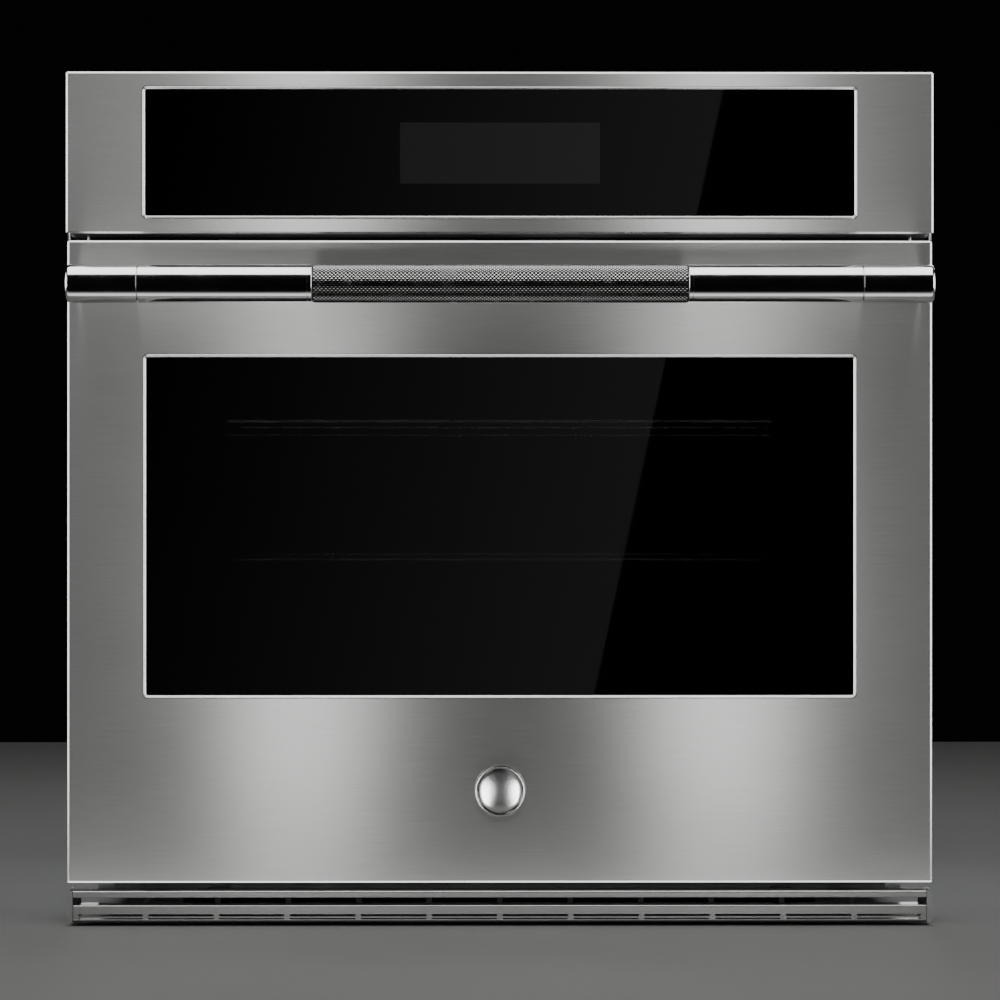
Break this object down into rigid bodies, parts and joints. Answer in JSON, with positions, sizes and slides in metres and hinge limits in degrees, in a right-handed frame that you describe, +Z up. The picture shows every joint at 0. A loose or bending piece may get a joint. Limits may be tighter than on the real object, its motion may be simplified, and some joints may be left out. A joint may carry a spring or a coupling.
{
  "type": "wall oven",
  "caption": "Built-in single wall oven with a drop-down windowed door, bar handle, glass control panel, wire racks and a slotted vent trim below the door.",
  "frame": {"origin": "middle of the bounding box, at the height of the foot rails' undersides", "axes": "+X to the right seen from in front, -Y towards the user, +Z up"},
  "size_m": [0.762, 0.7, 0.7499],
  "materials": {
    "brushed_steel": "horizontally brushed stainless steel",
    "polished_steel": "polished stainless steel",
    "sheet_steel": "galvanised sheet steel",
    "enamel": "black speckled oven enamel",
    "dark_paint": "satin black paint",
    "black_glass": "glossy black glass",
    "clear_glass": "clear heat-proof glass",
    "rack_wire": "bright chromed wire",
    "heating_rod": "oxidised heating rod",
    "wool": "mineral wool",
    "gasket": "woven glass-fibre braid",
    "plastic": "black moulded plastic",
    "board": "green circuit board with relays"
  },
  "bodies": {
    "root": {"back_panel": "sheet_steel", "bake_element": "heating_rod", "base_pan": "sheet_steel", "blower_housing": "sheet_steel", "blower_motor": "dark_paint", "broil_element": "heating_rod", "cavity_insulation": "wool", "control_bezel": "polished_steel", "control_fascia": "brushed_steel", "control_glass": "black_glass", "display_module": "plastic", "door_gasket": "gasket", "door_switch": "plastic", "duct_plate": "sheet_steel", "fan_baffle": "enamel", "fan_motor": "sheet_steel", "foot_rail_left": "sheet_steel", "foot_rail_right": "sheet_steel", "front_frame": "enamel", "hinge_arm_left": "sheet_steel", "hinge_arm_right": "sheet_steel", "latch_motor": "dark_paint", "oven_cavity": "enamel", "oven_lamp_left": "clear_glass", "oven_lamp_right": "clear_glass", "rack_guide_left": "rack_wire", "rack_guide_right": "rack_wire", "relay_board": "board", "ring_element": "heating_rod", "side_panel_left": "sheet_steel", "side_panel_right": "sheet_steel", "side_trim_left": "dark_paint", "side_trim_right": "dark_paint", "temperature_sensor": "polished_steel", "terminal_box": "sheet_steel", "top_panel": "sheet_steel", "vent_cap_left": "polished_steel", "vent_cap_right": "polished_steel", "vent_trim": "brushed_steel"},
    "door": {"door_skin": "brushed_steel", "window_bezel": "polished_steel", "window_glass": "black_glass", "middle_glass": "clear_glass", "inner_glass": "clear_glass", "glass_spacer": "sheet_steel", "door_liner": "enamel", "door_insulation": "wool", "hinge_channel_left": "sheet_steel", "hinge_channel_right": "sheet_steel", "handle_bar": "polished_steel", "handle_grip": "brushed_steel", "handle_bracket_left": "polished_steel", "handle_bracket_right": "polished_steel", "badge": "polished_steel"},
    "upper_rack": {"upper_rack": "rack_wire"},
    "lower_rack": {"lower_rack": "rack_wire"},
    "fan": {"convection_fan": "sheet_steel"},
    "blower": {"blower_wheel": "sheet_steel"},
    "latch": {"latch_hook": "sheet_steel"},
    "plunger": {"switch_plunger": "plastic"}
  },
  "joints": [
    {"name": "door_hinge", "type": "hinge", "parent": "root", "child": "door", "pos_m": [0, -0.27, 0.052], "axis": [1, 0, 0], "range_deg": [0, 90], "stiffness_Nm_per_rad": 20, "springref_deg": -8.59},
    {"name": "upper_rack_slide", "type": "slide", "parent": "root", "child": "upper_rack", "axis": [0, -1, 0], "range_m": [0, 0.3]},
    {"name": "lower_rack_slide", "type": "slide", "parent": "root", "child": "lower_rack", "axis": [0, -1, 0], "range_m": [0, 0.3]},
    {"name": "switch_travel", "type": "slide", "parent": "root", "child": "plunger", "axis": [0, -1, 0], "range_m": [0, 0.004]},
    {"name": "latch_turn", "type": "hinge", "parent": "root", "child": "latch", "pos_m": [0, -0.205, 0.582], "axis": [0, 0, 1], "range_deg": [0, 11]},
    {"name": "fan_spin", "type": "hinge", "parent": "root", "child": "fan", "pos_m": [0, 0.2425, 0.33], "axis": [0, 1, 0], "continuous": true},
    {"name": "blower_spin", "type": "hinge", "parent": "root", "child": "blower", "pos_m": [-0.1, 0.1, 0.6235], "axis": [0, 0, 1], "continuous": true}
  ],
  "couplings": [
    {"joint": "upper_rack_slide", "follows": "door_hinge", "m_per_rad": 0.1909},
    {"joint": "lower_rack_slide", "follows": "door_hinge", "m_per_rad": 0.1909},
    {"joint": "switch_travel", "follows": "door_hinge", "m_per_rad": 0.00254}
  ]
}
